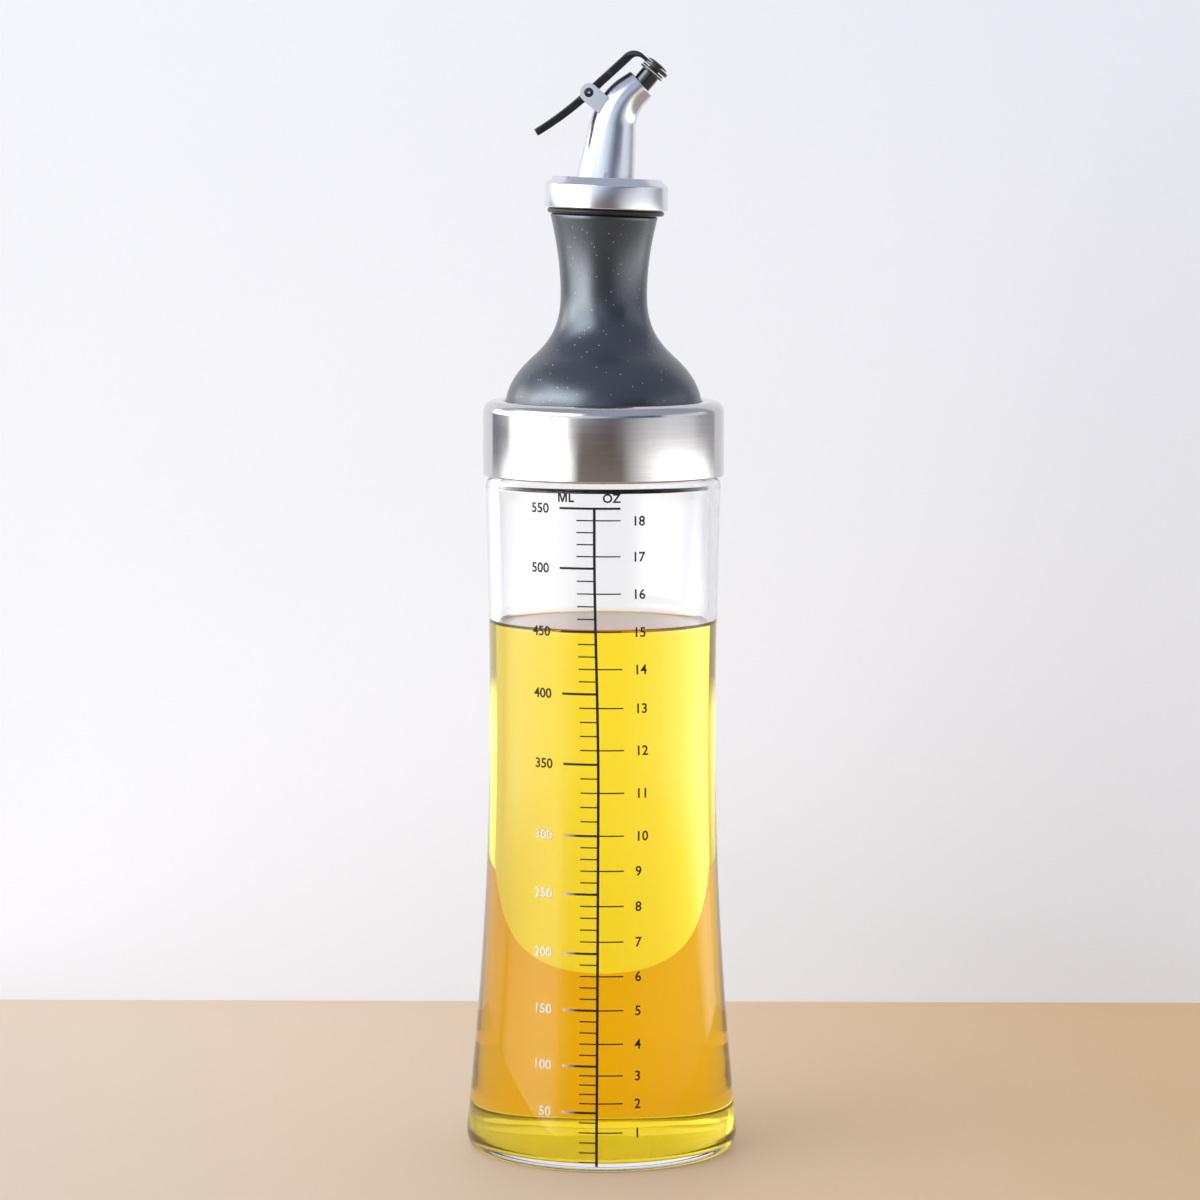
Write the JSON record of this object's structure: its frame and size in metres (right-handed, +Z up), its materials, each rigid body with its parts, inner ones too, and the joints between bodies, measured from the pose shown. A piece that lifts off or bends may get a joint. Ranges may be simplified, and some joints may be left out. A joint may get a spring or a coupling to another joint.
{
  "type": "oil dispenser bottle",
  "caption": "Clear flared glass bottle part filled with cooking oil, with a steel screw collar, a black bell-shaped neck and a flip-lever pourer.",
  "frame": {"origin": "on the bottle's axis, on the surface it stands on", "axes": "+Z up along the bottle's axis, +X the way the spout points, -Y the side with the measuring scale"},
  "size_m": [0.0768, 0.0768, 0.3086],
  "materials": {
    "glass": "clear polished glass",
    "oil": "clear yellow cooking oil",
    "steel": "brushed round the ring",
    "soft_plastic": "soft-touch charcoal black",
    "rubber": "smooth black",
    "silver_plastic": "satin silver plating",
    "black_plastic": "gloss black"
  },
  "bodies": {
    "bottle": {"glass_bottle": "glass", "oil": "oil", "collar": "steel", "neck": "soft_plastic", "stopper": "rubber", "spout": "silver_plastic", "nozzle": "black_plastic"},
    "lever": {"lever": "black_plastic", "seal": "rubber"}
  },
  "joints": [
    {"name": "lever_hinge", "type": "hinge", "parent": "bottle", "child": "lever", "pos_m": [-0.00429, 0, 0.29696], "axis": [0, -1, 0], "range_deg": [0, 36]}
  ]
}
